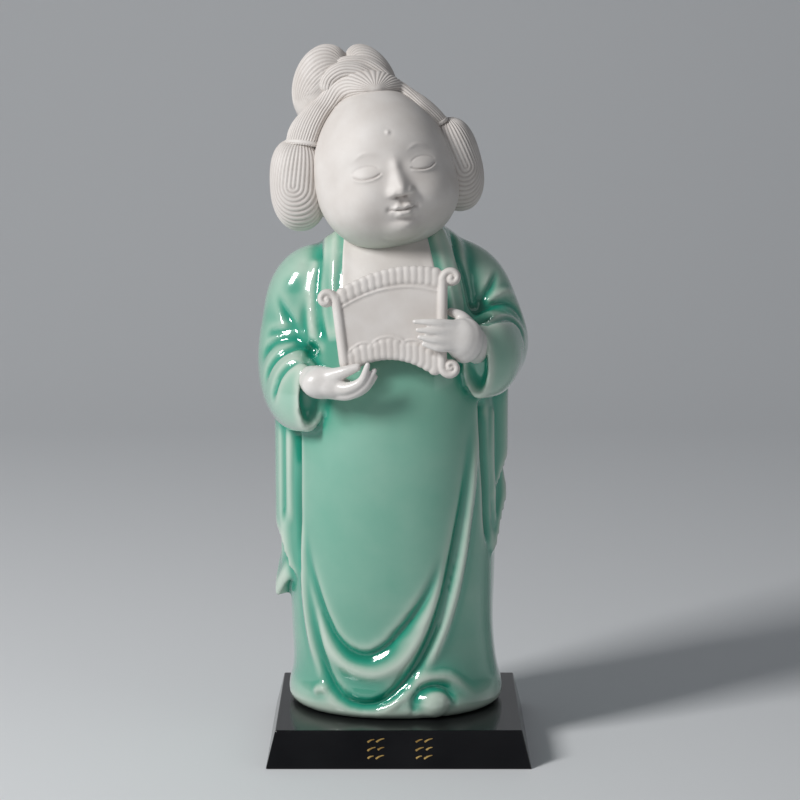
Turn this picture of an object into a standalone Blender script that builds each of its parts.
"""A porcelain court lady holding panpipes, standing on a black lacquered plinth.

The figure is one fired casting: gown, sleeves, head, hair, hands and panpipes are shaped as
closed forms, fused into one skin, pressed with the folds of the gown and thinned to a light mesh.
The plinth is a separate block that the figure stands on. Metres, +Z up, the figure faces -Y.
The origin is at the middle of the plinth's underside.
"""

import math

import bmesh
import bpy
import numpy as np
from mathutils import Euler, Matrix, Vector
from mathutils.bvhtree import BVHTree

# Driving dimensions, in metres
FIGURE_HEIGHT = 0.363
PLINTH_HEIGHT = 0.020
PLINTH_FLARE = 0.005
PLINTH_EDGE = 0.0006
MARGIN_LEFT = 0.0050
MARGIN_RIGHT = 0.0084
MARGIN_FRONT = 0.0156
MARGIN_BACK = 0.0054
SEAT_GAP = 0.0003

# The figure is free form: its pose and carving are shares of its own height, in points
POINTS_TALL = 363
POINT = FIGURE_HEIGHT / POINTS_TALL
GRAIN = 1.05
FIGURE_TRIANGLES = 9300

# The gown's column at each height: left, right, front and back of its outline, in points
COLUMN_MIDDLE = (-2.0, 10.0)
COLUMN_SQUARENESS = 2.15
WIDEST_FOOT = 8.0
COLUMN = (
    (0, -57.5, 54.5, -37.0, 48.0),
    (2.5, -60.3, 57.0, -39.6, 50.0),
    (8, -61.0, 57.6, -40.4, 50.6),
    (18, -59.0, 55.2, -38.6, 49.0),
    (42, -59.3, 52.6, -38.6, 46.0),
    (70, -60.5, 53.0, -43.0, 44.5),
    (110, -61.0, 54.0, -47.6, 43.0),
    (150, -59.5, 55.0, -50.0, 42.0),
    (180, -56.5, 53.5, -48.4, 41.0),
    (205, -53.0, 50.0, -43.0, 40.0),
    (225, -50.5, 45.5, -36.0, 38.5),
    (240, -50.0, 43.0, -29.5, 36.0),
    (252, -45.5, 38.0, -23.0, 32.0),
    (260, -36.0, 30.0, -18.0, 28.0),
    (267, -24.0, 19.0, -12.0, 22.0),
    (272, -14.0, 9.0, -6.0, 16.0),
)

# Sleeves, from the shoulder to the mouth: centre, half thickness and half height, in points
SLEEVE_RIGHT = (
    ((-33, 9, 243), 14, 14),
    ((-45.5, 8, 234), 20, 22),
    ((-54, 6, 208), 21, 23),
    ((-57, -1, 188), 19.5, 24),
    ((-56, -17, 181), 16.5, 23),
    ((-51.5, -31, 179), 12.5, 21),
    ((-46.5, -40, 178), 9.5, 19.5),
)
SLEEVE_LEFT = (
    ((26, 10, 246), 14, 12),
    ((38, 9, 235), 18, 19),
    ((47, 8, 216), 19, 21),
    ((51, 3, 202), 19.5, 21),
    ((51, -14, 199), 16.5, 21.5),
    ((47, -29, 198), 12.5, 21),
    ((41.5, -39, 198), 9.5, 20),
)
MOUTH_DEPTH = 15
MOUTH_RIM = 0.84

# Cloth that hangs at the sides, folded to and fro: across, back and foot of the hem, in points
FALL_RIGHT = (
    (-64.5, -7, 98), (-57.5, -14, 74), (-65, -3, 77), (-66, 3, 64), (-59.5, 6, 72), (-65, 11, 88),
    (-60.5, 15, 74), (-63, 21, 94), (-56.5, 27, 80), (-56, 32, 100), (-46, 37, 88), (-36, 36, 108),
)
FALL_LEFT = (
    (57.5, -4, 137), (50.5, -12, 119), (58.5, 0, 114), (51, -6, 90), (56, 4, 95), (55, 10, 88),
    (50.5, 14, 104), (55, 19, 94), (50, 25, 110), (50, 31, 98), (40, 36, 114), (30, 36, 104),
)
FALL_TOP = 190
FALL_TUCK_SIDE = (136, 186, 0.30)
FALL_TUCK_BACK = (60, 186, 0.34)
FALL_THICK = 3.4

# Head and hair, in points and degrees
HEAD_MIDDLE = (-8.8, -3.0, 293.5)
HEAD_TURN = math.radians(12)
HEAD_LEAN = math.radians(-10)
HEAD_LIFT = math.radians(-8)
HEAD_SIZE = (37.4, 36.0, 43.0)
HAIR_STAND = 2.6
HAIR_CROWN = 8.0
HAIRLINE_BROW = 57
HAIRLINE_TEMPLE = 84

# The panpipes, in points: corners across and up, and how far each edge arches
PIPES_TOP = ((-31.0, 233.5), (21.0, 244.5), 5.4)
PIPES_FOOT = ((-26.0, 195.5), (20.5, 193.0), 7.6)
PIPES_FRONT = -51.5
PIPES_LEAN = 0.20
PIPES_THICK = 5.0
TUBES = 15
TUBE_BAND = 0.22
RAIL_WIDE = 2.4
SCROLL_SIZE = 5.4
SCROLL_DROP = 3.0


def clear_scene():
    for thing in list(bpy.data.objects):
        bpy.data.objects.remove(thing)


def material(name, colour, roughness, coat=0.0):
    made = bpy.data.materials.new(name)
    made.use_nodes = True
    shader = made.node_tree.nodes["Principled BSDF"]
    shader.inputs["Base Color"].default_value = (*colour, 1)
    shader.inputs["Roughness"].default_value = roughness
    shader.inputs["Metallic"].default_value = 0.0
    shader.inputs["Coat Weight"].default_value = coat
    return made


# Curves through a few chosen rows


def spline(keys, rows, where):
    """Rows read at the places in where from a smooth curve through the given rows."""
    keys = np.asarray(keys, float)
    rows = np.asarray(rows, float)
    where = np.clip(np.asarray(where, float), keys[0], keys[-1])
    slopes = np.gradient(rows, keys, axis=0)
    i = np.clip(np.searchsorted(keys, where, side="right") - 1, 0, len(keys) - 2)
    span = (keys[i + 1] - keys[i])[:, None]
    t = (where - keys[i])[:, None] / span
    keep = (1 + 2 * t) * (1 - t) ** 2 * rows[i] + t * t * (3 - 2 * t) * rows[i + 1]
    bend = t * (1 - t) ** 2 * span * slopes[i] - t * t * (1 - t) * span * slopes[i + 1]
    return keep + bend


def along(rows, count):
    """The rows of a path, evenly spaced along a smooth curve through its points."""
    rows = np.asarray(rows, float)
    steps = np.linalg.norm(np.diff(rows[:, :3], axis=0), axis=1)
    keys = np.concatenate([[0], np.cumsum(steps)])
    return spline(keys, rows, np.linspace(0, keys[-1], count))


def smooth_step(low, high, value):
    share = min(max((value - low) / (high - low), 0), 1)
    return share * share * (3 - 2 * share)


# Closed forms, made in points


def loft(rings):
    """A closed mesh through rings of equal count, with a fan over each end."""
    rings = np.asarray(rings, float)
    count, sides, _ = rings.shape
    points = [*rings.reshape(-1, 3), rings[0].mean(0), rings[-1].mean(0)]
    first_end, last_end = count * sides, count * sides + 1
    faces = []
    for i in range(count - 1):
        for j in range(sides):
            k = (j + 1) % sides
            faces.append((i * sides + j, i * sides + k, (i + 1) * sides + k, (i + 1) * sides + j))
    for j in range(sides):
        k = (j + 1) % sides
        faces.append((first_end, k, j))
        faces.append((last_end, (count - 1) * sides + j, (count - 1) * sides + k))
    mesh = bpy.data.meshes.new("form")
    mesh.from_pydata([tuple(p) for p in points], [], faces)
    return outward(mesh)


def outward(mesh):
    """The mesh with its faces turned outward."""
    bm = bmesh.new()
    bm.from_mesh(mesh)
    bmesh.ops.recalc_face_normals(bm, faces=bm.faces)
    bm.to_mesh(mesh)
    bm.free()
    return mesh


def ovoid(middle, size, turn=(0, 0, 0), shape=None, fine=4):
    """A ball stretched to size, reshaped by a function of its unit sphere, turned and placed."""
    bm = bmesh.new()
    bmesh.ops.create_icosphere(bm, subdivisions=fine, radius=1.0)
    rotation = Euler(turn).to_matrix()
    for vert in bm.verts:
        unit = vert.co.copy()
        grown = shape(unit) if shape else unit
        stretched = Vector(grown[i] * size[i] for i in range(3))
        vert.co = rotation @ stretched + Vector(middle)
    mesh = bpy.data.meshes.new("form")
    bm.to_mesh(mesh)
    bm.free()
    return mesh


def frames(path, up):
    """Side and up directions along a path, carried back from its last point."""
    heading = np.gradient(path, axis=0)
    heading /= np.linalg.norm(heading, axis=1)[:, None]
    ups = np.zeros_like(path)
    carried = np.array(up, float)
    for i in range(len(path) - 1, -1, -1):
        carried = carried - heading[i] * (carried @ heading[i])
        carried /= np.linalg.norm(carried)
        ups[i] = carried
    return np.cross(heading, ups), ups, heading


def tube_rings(rows, count, sides, up):
    """Rings of an oval tube whose rows hold centre, half width and half height."""
    rows = along([(*centre, wide, tall) for centre, wide, tall in rows], count)
    side, ups, heading = frames(rows[:, :3], up)
    angles = np.linspace(0, 2 * math.pi, sides, endpoint=False)
    rings = (
        rows[:, None, :3]
        + rows[:, None, 3:4] * np.cos(angles)[None, :, None] * side[:, None, :]
        + rows[:, None, 4:5] * np.sin(angles)[None, :, None] * ups[:, None, :]
    )
    return rings, rows, heading


def rounded_tube(rows, up=(0, 0, 1), count=18, sides=20):
    """An oval tube with a domed cap at each end."""
    rings, rows, heading = tube_rings(rows, count, sides, up)
    domes = []
    for end, way in ((0, -1), (-1, 1)):
        centre = rows[end, :3]
        reach = rows[end, 3:5].min()
        dome = []
        for angle in np.radians((30, 55, 75)):
            shifted = centre + way * heading[end] * reach * math.sin(angle)
            dome.append(shifted + (rings[end] - centre) * math.cos(angle))
        domes.append(dome)
    return loft([*reversed(domes[0]), *rings, *domes[1]])


# The gown


def column_at(heights):
    """Left, right, front and back of the column at the given heights."""
    return spline([row[0] for row in COLUMN], [row[1:] for row in COLUMN], heights)


def column_outline(height_row, bearings, stand=0.0):
    """Points round the column at one height. Bearing 0 is the front and 90 the viewer's left."""
    left, right, front, back = height_row
    mid_x, mid_y = COLUMN_MIDDLE
    sides, fronts = np.sin(bearings), np.cos(bearings)
    power = 2 / COLUMN_SQUARENESS
    reach_x = np.where(sides > 0, mid_x - left, right - mid_x) + stand
    reach_y = np.where(fronts > 0, mid_y - front, back - mid_y) + stand
    x = mid_x - np.sign(sides) * np.abs(sides) ** power * reach_x
    y = mid_y - np.sign(fronts) * np.abs(fronts) ** power * reach_y
    return x, y


def gown_column():
    heights = np.concatenate([np.linspace(0, 20, 9), np.linspace(24, 272, 60)])
    bearings = np.linspace(0, 2 * math.pi, 96, endpoint=False)
    rings = []
    for height, row in zip(heights, column_at(heights)):
        x, y = column_outline(row, bearings)
        rings.append(np.stack([x, y, np.full_like(x, height)], 1))
    return loft(rings)


def sleeve(rows):
    """A sleeve with a hollow mouth: the skin turns in over the rim and runs back inside."""
    rings, rows, heading = tube_rings(rows, 26, 36, (0, 0, 1))
    centre, way = rows[-1, :3], heading[-1]
    spread = rings[-1] - centre
    inner = [
        centre + way * 0.8 + spread * (1 + MOUTH_RIM) / 2,
        centre + spread * MOUTH_RIM,
        centre - way * MOUTH_DEPTH * 0.5 + spread * MOUTH_RIM * 0.9,
        centre - way * MOUTH_DEPTH + spread * MOUTH_RIM * 0.6,
    ]
    return loft([*rings, *inner])


def side_fall(corners):
    """Cloth that hangs down one side, folded to and fro, so that its hem zigzags."""
    rows = along(corners, 12 * (len(corners) - 1) + 1)
    heading = np.gradient(rows[:, :2], axis=0)
    heading /= np.linalg.norm(heading, axis=1)[:, None]
    half = FALL_THICK / 2
    rings = []
    for (x, y, foot), (along_x, along_y) in zip(rows, heading):
        heights = np.linspace(FALL_TOP, foot + half, 14)
        outer = [tucked(x + along_y * half, y - along_x * half, height) for height in heights]
        inner = [tucked(x - along_y * half, y + along_x * half, height) for height in heights[::-1]]
        rings.append([*outer, (x, y, foot), *inner])
    return loft(rings)


def tucked(x, y, height):
    """A point of the hanging cloth, drawn in under the sleeve as it rises."""
    pulls = [most * smooth_step(start, end, height) for start, end, most in (FALL_TUCK_SIDE, FALL_TUCK_BACK)]
    return x + (COLUMN_MIDDLE[0] - x) * pulls[0], y + (COLUMN_MIDDLE[1] - y) * pulls[1], height


# Head and hair


def head_shape(unit):
    """A round head, widest at the cheeks, with the hair standing proud above a curved hairline."""
    width = 1 - 0.07 * unit.z - 0.04 * unit.z * unit.z
    from_face = math.degrees(math.acos(min(max(-unit.y, -1), 1)))
    from_top = math.degrees(abs(math.atan2(unit.x, unit.z)))
    line = HAIRLINE_BROW + (HAIRLINE_TEMPLE - HAIRLINE_BROW) * smooth_step(20, 100, from_top)
    line += 40 * smooth_step(110, 150, from_top)
    crown = HAIR_CROWN * smooth_step(0, 50, from_face - line) * max(unit.z, 0) ** 0.6
    stand = (HAIR_STAND + crown) * smooth_step(-1, 2, from_face - line)
    grown = 1 + stand / HEAD_SIZE[2]
    return Vector((unit.x * width * grown, unit.y * grown, unit.z * grown))


def squarer(unit):
    """A ball pushed a little towards a rounded block, as a thick loop of hair."""
    pushed = Vector([math.copysign(abs(part) ** 0.82, part) for part in unit])
    return pushed * (1 + 0.12 * (pushed.length - 1)) / max(pushed.length, 1) ** 0.55


def on_head(x, y, z):
    """A point given from the middle of the head, along its own right, back and up."""
    turned = Euler((HEAD_LIFT, HEAD_LEAN, HEAD_TURN)).to_matrix() @ Vector((x, y, z))
    return tuple(turned + Vector(HEAD_MIDDLE))


def head_forms():
    turn = (HEAD_LIFT, HEAD_LEAN, HEAD_TURN)
    head = ovoid(HEAD_MIDDLE, HEAD_SIZE, turn, head_shape, fine=6)
    features = [
        ovoid(on_head(0, -34.0, -3.5), (2.4, 3.0, 9.0), turn),
        ovoid(on_head(0, -36.0, -12.0), (4.2, 3.0, 2.8), turn),
        ovoid(on_head(0, -29.4, -23.0), (5.4, 2.6, 2.6), turn),
        ovoid(on_head(0, -22.6, -32.0), (8.5, 4.8, 5.0), turn),
        ovoid(on_head(0, -31.9, 19.0), (1.5, 1.7, 1.5), turn),
    ]
    features += [ovoid(on_head(x, -31.0, 0.0), (7.4, 3.2, 2.8), turn) for x in (-15, 15)]
    neck = rounded_tube((((-7, 4, 236), 21, 21), ((-8, 2, 262), 20, 20), ((-8, 0, 285), 22, 22)))
    return [head, neck, *features]


def hair_forms():
    return [
        rounded_tube((((-24, -8, 325), 7, 8), ((-40, -6, 326), 8.5, 10), ((-50.5, -1, 311), 8.6, 11))),
        rounded_tube((((2, -3, 331), 6, 7), ((11, -2, 327.5), 6.2, 7.5), ((19, 2, 321.5), 5.8, 7.5))),
        rounded_tube((((-51.5, 0, 310.5), 9.8, 12), ((-52.1, 0.4, 308), 10.0, 12.4))),
        rounded_tube((((20.4, 3, 320.8), 6.8, 8.4), ((21.6, 3.6, 318.8), 6.9, 8.6))),
        ovoid((-53.6, 4, 284.5), (16.0, 19, 24.5), (0, math.radians(-3), 0), squarer),
        ovoid((29.6, 8, 296.5), (15.4, 19, 26.0), (0, math.radians(-15), 0), squarer),
        ovoid((-41.0, 11, 339.5), (17, 15, 23), (0, math.radians(14), 0)),
        ovoid((-16.0, 13, 345.5), (11.5, 12, 18.5), (0, math.radians(-34), 0)),
        rounded_tube((((-38, 0, 337), 6, 6), ((-34, 2, 345), 6.5, 7), ((-24, 3, 349), 7, 7), ((-12, 2, 345), 6, 6))),
        ovoid((-21.5, 12, 352), (11, 9, 7), (0, math.radians(12), 0)),
    ]


# Hands


def finger(points, thick, thin):
    """A finger that tapers from its root to its tip."""
    sizes = np.linspace(thick, thin, len(points))
    rows = [(point, size, size) for point, size in zip(points, sizes)]
    return rounded_tube(rows, up=(0.1, 0.2, 1), count=10, sides=12)


def hand_forms():
    lower = [
        rounded_tube((((-56, -30, 186), 9, 9), ((-49, -42, 188.5), 8.6, 8.6), ((-42, -49, 188), 9, 9))),
        ovoid((-38, -52.5, 187.5), (12.5, 9.5, 9.2), (0, math.radians(-10), math.radians(20))),
        finger(((-38, -55, 193), (-29, -59.5, 196.5), (-21.5, -61, 197)), 4.6, 2.6),
        finger(((-36, -56, 182), (-26, -61, 183), (-18.5, -64, 189), (-16, -65, 198.5)), 4.6, 1.8),
        finger(((-35, -54, 180.5), (-25, -59, 181.5), (-16.5, -62.5, 187), (-12.5, -63, 195)), 4.2, 1.7),
        finger(((-35, -51, 181), (-25, -56, 181.5), (-17.5, -59, 185), (-12, -60, 191)), 4.0, 1.7),
    ]
    upper = [
        rounded_tube((((52, -26, 208), 9, 9), ((46, -40, 209), 8.5, 9.5), ((39, -49, 210), 8, 10))),
        ovoid((34, -54, 211), (12.5, 7.5, 12.8), (0, math.radians(8), math.radians(-18))),
        finger(((33, -58.5, 219), (20, -60.5, 220), (8.5, -60, 220.6)), 3.4, 1.6),
        finger(((32, -60, 214.5), (20, -61.5, 215.6), (9.8, -61, 216.4)), 3.4, 1.6),
        finger(((32, -60, 210), (21, -61.5, 210.4), (10.8, -61, 212.4)), 3.3, 1.6),
        finger(((33, -59, 205.5), (22, -61, 205), (12.8, -60.5, 208)), 3.2, 1.5),
        finger(((38, -50, 220), (31, -49, 225.5), (25, -48, 224)), 4.2, 3.0),
    ]
    return lower + upper


# The panpipes


def pipes_edge(edge, share):
    """A point across and up on the arched top or foot edge, share 0 at the left and 1 at the right."""
    left, right, rise = edge
    x = left[0] + (right[0] - left[0]) * share
    z = left[1] + (right[1] - left[1]) * share + rise * 4 * share * (1 - share)
    return x, z


def pipes_place(share, height, out):
    """A point of the panpipes: share across, height from foot edge to top edge, and out of the face."""
    low, high = pipes_edge(PIPES_FOOT, share), pipes_edge(PIPES_TOP, share)
    x = low[0] + (high[0] - low[0]) * height
    z = low[1] + (high[1] - low[1]) * height
    return in_pipes_plane(x, z, out)


def in_pipes_plane(x, z, out):
    """A point across and up, laid on the leaning face of the panpipes and moved out of it."""
    middle = (PIPES_TOP[0][1] + PIPES_FOOT[0][1]) / 2
    return (x, PIPES_FRONT + PIPES_LEAN * (z - middle) - out, z)


def pipes_forms():
    half = PIPES_THICK / 2
    rings = []
    for share in np.linspace(-0.01, 1.01, 25):
        corners = ((0.04, half * 0.7), (0.96, half * 0.7), (0.96, -half), (0.04, -half))
        rings.append([pipes_place(share, height, out) for height, out in corners])
    forms = [loft(rings)]
    wide = (PIPES_TOP[1][0] - PIPES_TOP[0][0]) / TUBES / 2
    for i in range(TUBES):
        share = (i + 0.5) / TUBES
        for start, end in ((1 - TUBE_BAND, 1), (TUBE_BAND, 0)):
            rows = [(pipes_place(share, height, 0.6), wide * 0.95, half * 0.95)
                    for height in (start, (start + end) / 2, end)]
            forms.append(rounded_tube(rows, up=(0, -1, 0), count=3, sides=10))
    for share, way in ((0, -1), (1, 1)):
        low, high = pipes_edge(PIPES_FOOT, share), pipes_edge(PIPES_TOP, share)
        shift = way * RAIL_WIDE * 0.8
        rows = []
        for rise in np.linspace(0.06, 0.94, 4):
            x = low[0] + (high[0] - low[0]) * rise + shift
            rows.append((in_pipes_plane(x, low[1] + (high[1] - low[1]) * rise, 0.6), RAIL_WIDE, half * 1.15))
        forms.append(rounded_tube(rows, up=(0, -1, 0), count=5, sides=10))
        forms.append(scroll(high[0] + shift, high[1], way, 1))
        forms.append(scroll(low[0] + shift, low[1], way, -1))
    return forms


def scroll(x, z, way, lift):
    """A rail's end, rolled outward into a scroll."""
    rows = []
    full = 400
    for angle in np.linspace(0, full, 17):
        size = SCROLL_SIZE * (1 - 0.62 * angle / full)
        across = x + way * (SCROLL_SIZE - size * math.cos(math.radians(angle)))
        height = z + lift * (size * math.sin(math.radians(angle)) - SCROLL_DROP)
        rows.append((in_pipes_plane(across, height, 0.9), 1.8, PIPES_THICK * 0.58))
    return rounded_tube(rows, up=(0, -1, 0), count=26, sides=8)


# Fusing the forms and pressing the folds


def fuse(meshes, grain, rounds):
    """One skin over all the forms, by a voxel remesh, smoothed a little at the joins."""
    bm = bmesh.new()
    for mesh in meshes:
        bm.from_mesh(mesh)
    joined = bpy.data.meshes.new("joined")
    bm.to_mesh(joined)
    bm.free()
    carrier = bpy.data.objects.new("carrier", joined)
    bpy.context.scene.collection.objects.link(carrier)
    remesh = carrier.modifiers.new("skin", "REMESH")
    remesh.mode = "VOXEL"
    remesh.voxel_size = grain
    if rounds:
        smooth = carrier.modifiers.new("soften", "SMOOTH")
        smooth.factor = 0.5
        smooth.iterations = rounds
    graph = bpy.context.evaluated_depsgraph_get()
    skin = bpy.data.meshes.new_from_object(carrier.evaluated_get(graph))
    bpy.data.objects.remove(carrier)
    return outer_skin(skin)


def outer_skin(mesh):
    """The mesh without closed pockets: only its largest joined part is kept."""
    bm = bmesh.new()
    bm.from_mesh(mesh)
    waiting = set(bm.verts)
    parts = []
    while waiting:
        part = {waiting.pop()}
        edge = list(part)
        while edge:
            vert = edge.pop()
            for link in vert.link_edges:
                other = link.other_vert(vert)
                if other not in part:
                    part.add(other)
                    edge.append(other)
        waiting -= part
        parts.append(part)
    parts.sort(key=len)
    for part in parts[:-1]:
        bmesh.ops.delete(bm, geom=list(part), context="VERTS")
    bm.to_mesh(mesh)
    bm.free()
    return mesh


def coordinates(mesh):
    flat = np.zeros(len(mesh.vertices) * 3, np.float32)
    mesh.vertices.foreach_get("co", flat)
    return flat.reshape(-1, 3).astype(float)


def normals(mesh):
    flat = np.zeros(len(mesh.vertices) * 3, np.float32)
    mesh.vertex_normals.foreach_get("vector", flat)
    return flat.reshape(-1, 3).astype(float)


VIEWS = {
    "front": lambda a, b: ((a, -200, b), (0, 1, 0)),
    "back": lambda a, b: ((a, 200, b), (0, -1, 0)),
}


def laid(tree, points, view):
    """A smooth line on the surface, read through points given in one view."""
    line = along(points, 36) if len(points) > 1 else np.asarray(points, float)
    found = []
    for a, b in line[:, :2]:
        start, way = VIEWS[view](a, b)
        hit = tree.ray_cast(Vector(start), Vector(way))[0]
        if hit is not None:
            found.append(tuple(hit))
    return np.array(found)


def nearest(places, line):
    """Distance from each place to a line, and how far along it the nearest point is."""
    best = np.full(len(places), np.inf)
    share = np.zeros(len(places))
    for i in range(len(line) - 1):
        step = line[i + 1] - line[i]
        t = np.clip((places - line[i]) @ step / max(step @ step, 1e-9), 0, 1)
        gap = np.linalg.norm(places - line[i] - t[:, None] * step, axis=1)
        closer = gap < best
        best[closer] = gap[closer]
        share[closer] = (i + t[closer]) / (len(line) - 1)
    return best, share


def press(mesh, strokes):
    """Raises or sinks the skin along each stroke: view, points, width, height, fade at the ends."""
    places, outward_ways = coordinates(mesh), normals(mesh)
    tree = BVHTree.FromPolygons([tuple(p) for p in places], [tuple(f.vertices) for f in mesh.polygons])
    rise = np.zeros(len(places))
    for view, points, width, height, fade, *kind in strokes:
        line = laid(tree, [(a, b, 0) for a, b in points], view)
        low, high = line.min(0) - 3 * width, line.max(0) + 3 * width
        near = np.where(((places > low) & (places < high)).all(1))[0]
        gap, share = nearest(places[near], line)
        ends = np.clip(np.minimum(share / max(fade[0], 1e-3), (1 - share) / max(fade[1], 1e-3)), 0, 1)
        ends = ends * ends * (3 - 2 * ends)
        sharpness = 10 if kind else 2
        rise[near] += height * ends * np.exp(-((gap / width) ** sharpness))
    moved = places + outward_ways * rise[:, None]
    mesh.vertices.foreach_set("co", moved.astype(np.float32).ravel())
    mesh.update()


# The gown's folds, each a view, points across and up, width, height and fades at its ends, in points.
# A stroke that ends with "flat" keeps its height across its whole width
SKIRT_FOLDS = (
    ("front", ((-49, 94), (-48, 80), (-43, 63), (-31, 44), (-18, 38), (-3, 46), (9, 60), (18, 80), (24, 104)), 2.4, -2.8, (0.3, 0.35)),
    ("front", ((-44, 56), (-33, 38), (-20, 31.5), (-5, 37), (8, 50), (19, 72), (26, 96)), 3.4, 1.8, (0.35, 0.35)),
    ("front", ((-49, 90), (-46, 63), (-43, 38), (-37, 19), (-28, 10.5), (-16, 9), (-4, 13), (8, 29), (18, 52), (27, 84), (34, 120), (39, 165)), 2.8, -3.8, (0.3, 0.4)),
    ("front", ((-29, 4.5), (-13, 4), (0, 9), (9, 19)), 2.6, 1.4, (0.3, 0.3)),
    ("front", ((41, 160), (38, 128), (33, 94), (25, 60), (15, 33)), 3.6, 2.4, (0.4, 0.3)),
    ("front", ((-54, 96), (-51.5, 63), (-51, 38), (-50, 16)), 3.4, 1.8, (0.4, 0.3)),
    ("front", ((-54, 158), (-54, 128), (-53, 96), (-54, 70)), 1.7, -2.6, (0.1, 0.3)),
    ("front", ((46, 172), (46, 145), (47, 117), (47, 90)), 2.0, -3.0, (0.1, 0.3)),
    ("front", ((-62.5, 165), (-62.5, 130), (-62, 104)), 1.3, -1.5, (0.1, 0.2)),
    ("front", ((6.5, 3), (8.5, 13), (13, 18), (19, 19.5), (26, 16), (29.5, 8), (31, 2)), 1.7, -2.4, (0.05, 0.05)),
    ("front", ((1, 17), (9, 22.5), (18, 22.5), (28, 19), (39, 10)), 2.2, 1.5, (0.2, 0.3)),
    ("front", ((-45, 12), (-40, 17), (-35, 14)), 2.0, 1.4, (0.3, 0.3)),
)
COAT_FOLDS = (
    ("front", ((-6.5, 266), (-6.5, 252), (-6.5, 236), (-6.5, 222)), 23.0, -1.6, (0.0, 0.15), "flat"),
    ("front", ((-36.5, 262), (-37, 246), (-37, 234), (-36, 222), (-33, 205)), 5.0, 1.5, (0.0, 0.1), "flat"),
    ("front", ((20, 264), (24.5, 252), (28, 238), (31, 224), (33, 206)), 5.0, 1.5, (0.0, 0.1), "flat"),
    ("front", ((-47, 236), (-50, 223), (-51, 213), (-48, 203), (-42, 198)), 2.0, -3.2, (0.3, 0.1)),
    ("front", ((-44, 231), (-47, 221), (-46, 211), (-42, 204), (-36, 200)), 2.2, 1.6, (0.3, 0.3)),
    ("front", ((36, 245), (38, 236), (40, 226), (43, 218)), 1.9, -3.0, (0.3, 0.1)),
)
SLEEVE_FOLDS = (
    ("front", ((-50, 204), (-54, 212), (-60, 218), (-64, 226)), 1.9, -2.2, (0.05, 0.5)),
    ("front", ((-50, 204), (-55, 207.5), (-62, 208), (-72, 205)), 1.9, -2.4, (0.05, 0.4)),
    ("front", ((-49, 203), (-57, 204.5), (-66, 202), (-73, 196)), 1.7, 1.5, (0.2, 0.4)),
    ("front", ((-44, 200), (-56, 201.5), (-66, 197), (-73, 186)), 1.8, -1.8, (0.1, 0.4)),
    ("front", ((-38, 199), (-50, 200), (-60, 197), (-68, 186), (-69, 173)), 1.8, -1.8, (0.1, 0.4)),
    ("front", ((-42, 197), (-53, 197.5), (-61, 190), (-65, 176)), 2.0, 1.3, (0.2, 0.4)),
    ("front", ((43, 218), (48, 224), (53, 232), (56, 240)), 1.9, -2.4, (0.05, 0.5)),
    ("front", ((43, 218), (49, 221.5), (56, 224), (64, 223)), 1.8, -2.2, (0.05, 0.4)),
    ("front", ((45, 218), (53, 221), (62, 220), (68, 213)), 1.8, 1.6, (0.2, 0.4)),
    ("front", ((47, 217), (56, 218), (64, 213), (68, 201)), 1.8, -1.8, (0.1, 0.4)),
    ("front", ((-60, 172), (-53, 163), (-47, 162)), 2.4, -1.0, (0.4, 0.3)),
)
BACK_FOLDS = (
    ("back", ((-34, 236), (-40, 190), (-42, 130), (-44, 60), (-46, 18)), 3.6, -2.2, (0.2, 0.3)),
    ("back", ((-14, 200), (-18, 130), (-24, 60), (-28, 12)), 4.0, -1.8, (0.4, 0.2)),
    ("back", ((12, 200), (14, 130), (20, 60), (24, 12)), 4.0, -1.8, (0.4, 0.2)),
    ("back", ((30, 236), (36, 190), (38, 130), (40, 60), (42, 18)), 3.6, -2.2, (0.2, 0.3)),
    ("back", ((-24, 110), (-12, 92), (0, 88), (12, 93), (22, 112)), 3.2, -1.4, (0.4, 0.4)),
    ("back", ((-28, 262), (-18, 258), (-6, 256), (8, 258), (18, 262)), 4.0, 1.5, (0.0, 0.0), "flat"),
)


def gown_mesh():
    forms = [
        gown_column(),
        sleeve(SLEEVE_RIGHT),
        sleeve(SLEEVE_LEFT),
        side_fall(FALL_RIGHT),
        side_fall(FALL_LEFT),
        rounded_tube((((-56, 4, 170), 9, 13), ((-56.5, 4, 105), 8, 13))),
        rounded_tube((((49, 0, 170), 8, 12), ((49.5, 0, 132), 7, 11))),
        ovoid((18.8, -35.5, 7.5), (9.2, 8, 9.5)),
    ]
    skin = fuse(forms, GRAIN, 6)
    press(skin, (*COAT_FOLDS, *SLEEVE_FOLDS, *SKIRT_FOLDS, *BACK_FOLDS))
    return skin


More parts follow.
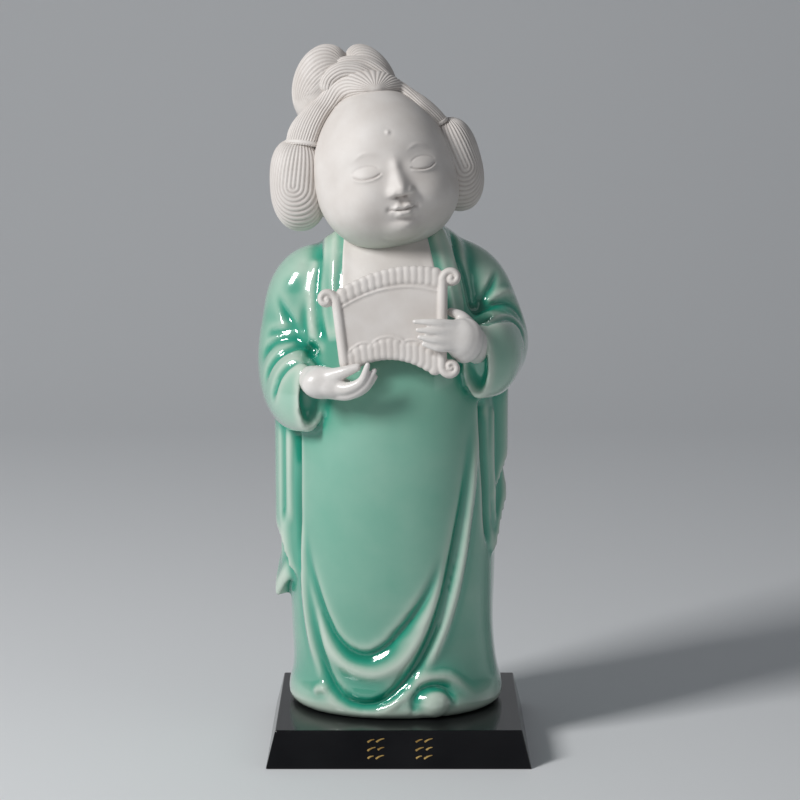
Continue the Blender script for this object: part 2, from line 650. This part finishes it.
def build_figure():
    forms = [gown_mesh(), *head_forms(), *hair_forms(), *hand_forms(), *pipes_forms()]
    skin = fuse(forms, GRAIN, 1)
    skin.transform(Matrix.Scale(POINT, 4))
    flatten_foot(skin)
    figure = bpy.data.objects.new("figure", skin)
    bpy.context.scene.collection.objects.link(figure)
    figure.location.z = PLINTH_HEIGHT + SEAT_GAP
    figure.data.materials.append(material("celadon_porcelain", (0.36, 0.62, 0.50), 0.12, 0.6))
    thin = figure.modifiers.new("thin", "DECIMATE")
    thin.ratio = FIGURE_TRIANGLES / (2 * len(skin.polygons))
    thin.use_collapse_triangulate = True
    return figure


def flatten_foot(mesh):
    """The ground-flat foot: everything below a thin slice is laid on one plane."""
    slice_height = 0.9 * POINT
    for vert in mesh.vertices:
        if vert.co.z < slice_height:
            vert.co.z = 0.0


def build_plinth():
    """A block with sloping sides, a little larger than the foot of the figure on every side."""
    foot = column_at([WIDEST_FOOT])[0] * POINT
    top = (
        foot[0] - MARGIN_LEFT,
        foot[1] + MARGIN_RIGHT,
        foot[2] - MARGIN_FRONT,
        foot[3] + MARGIN_BACK,
    )
    bm = bmesh.new()
    corners = []
    for height, flare in ((0.0, PLINTH_FLARE), (PLINTH_HEIGHT, 0.0)):
        left, right, front, back = top[0] - flare, top[1] + flare, top[2] - flare, top[3] + flare
        ring = [(left, front), (right, front), (right, back), (left, back)]
        corners.append([bm.verts.new((x, y, height)) for x, y in ring])
    bm.faces.new(corners[0][::-1])
    bm.faces.new(corners[1])
    for i in range(4):
        k = (i + 1) % 4
        bm.faces.new((corners[0][i], corners[0][k], corners[1][k], corners[1][i]))
    mesh = bpy.data.meshes.new("plinth")
    bm.to_mesh(mesh)
    bm.free()
    plinth = bpy.data.objects.new("plinth", mesh)
    bpy.context.scene.collection.objects.link(plinth)
    plinth.data.materials.append(material("black_lacquer", (0.01, 0.01, 0.011), 0.08, 1.0))
    bevel = plinth.modifiers.new("edges", "BEVEL")
    bevel.width = PLINTH_EDGE
    bevel.segments = 2
    return plinth


clear_scene()
build_plinth()
build_figure()
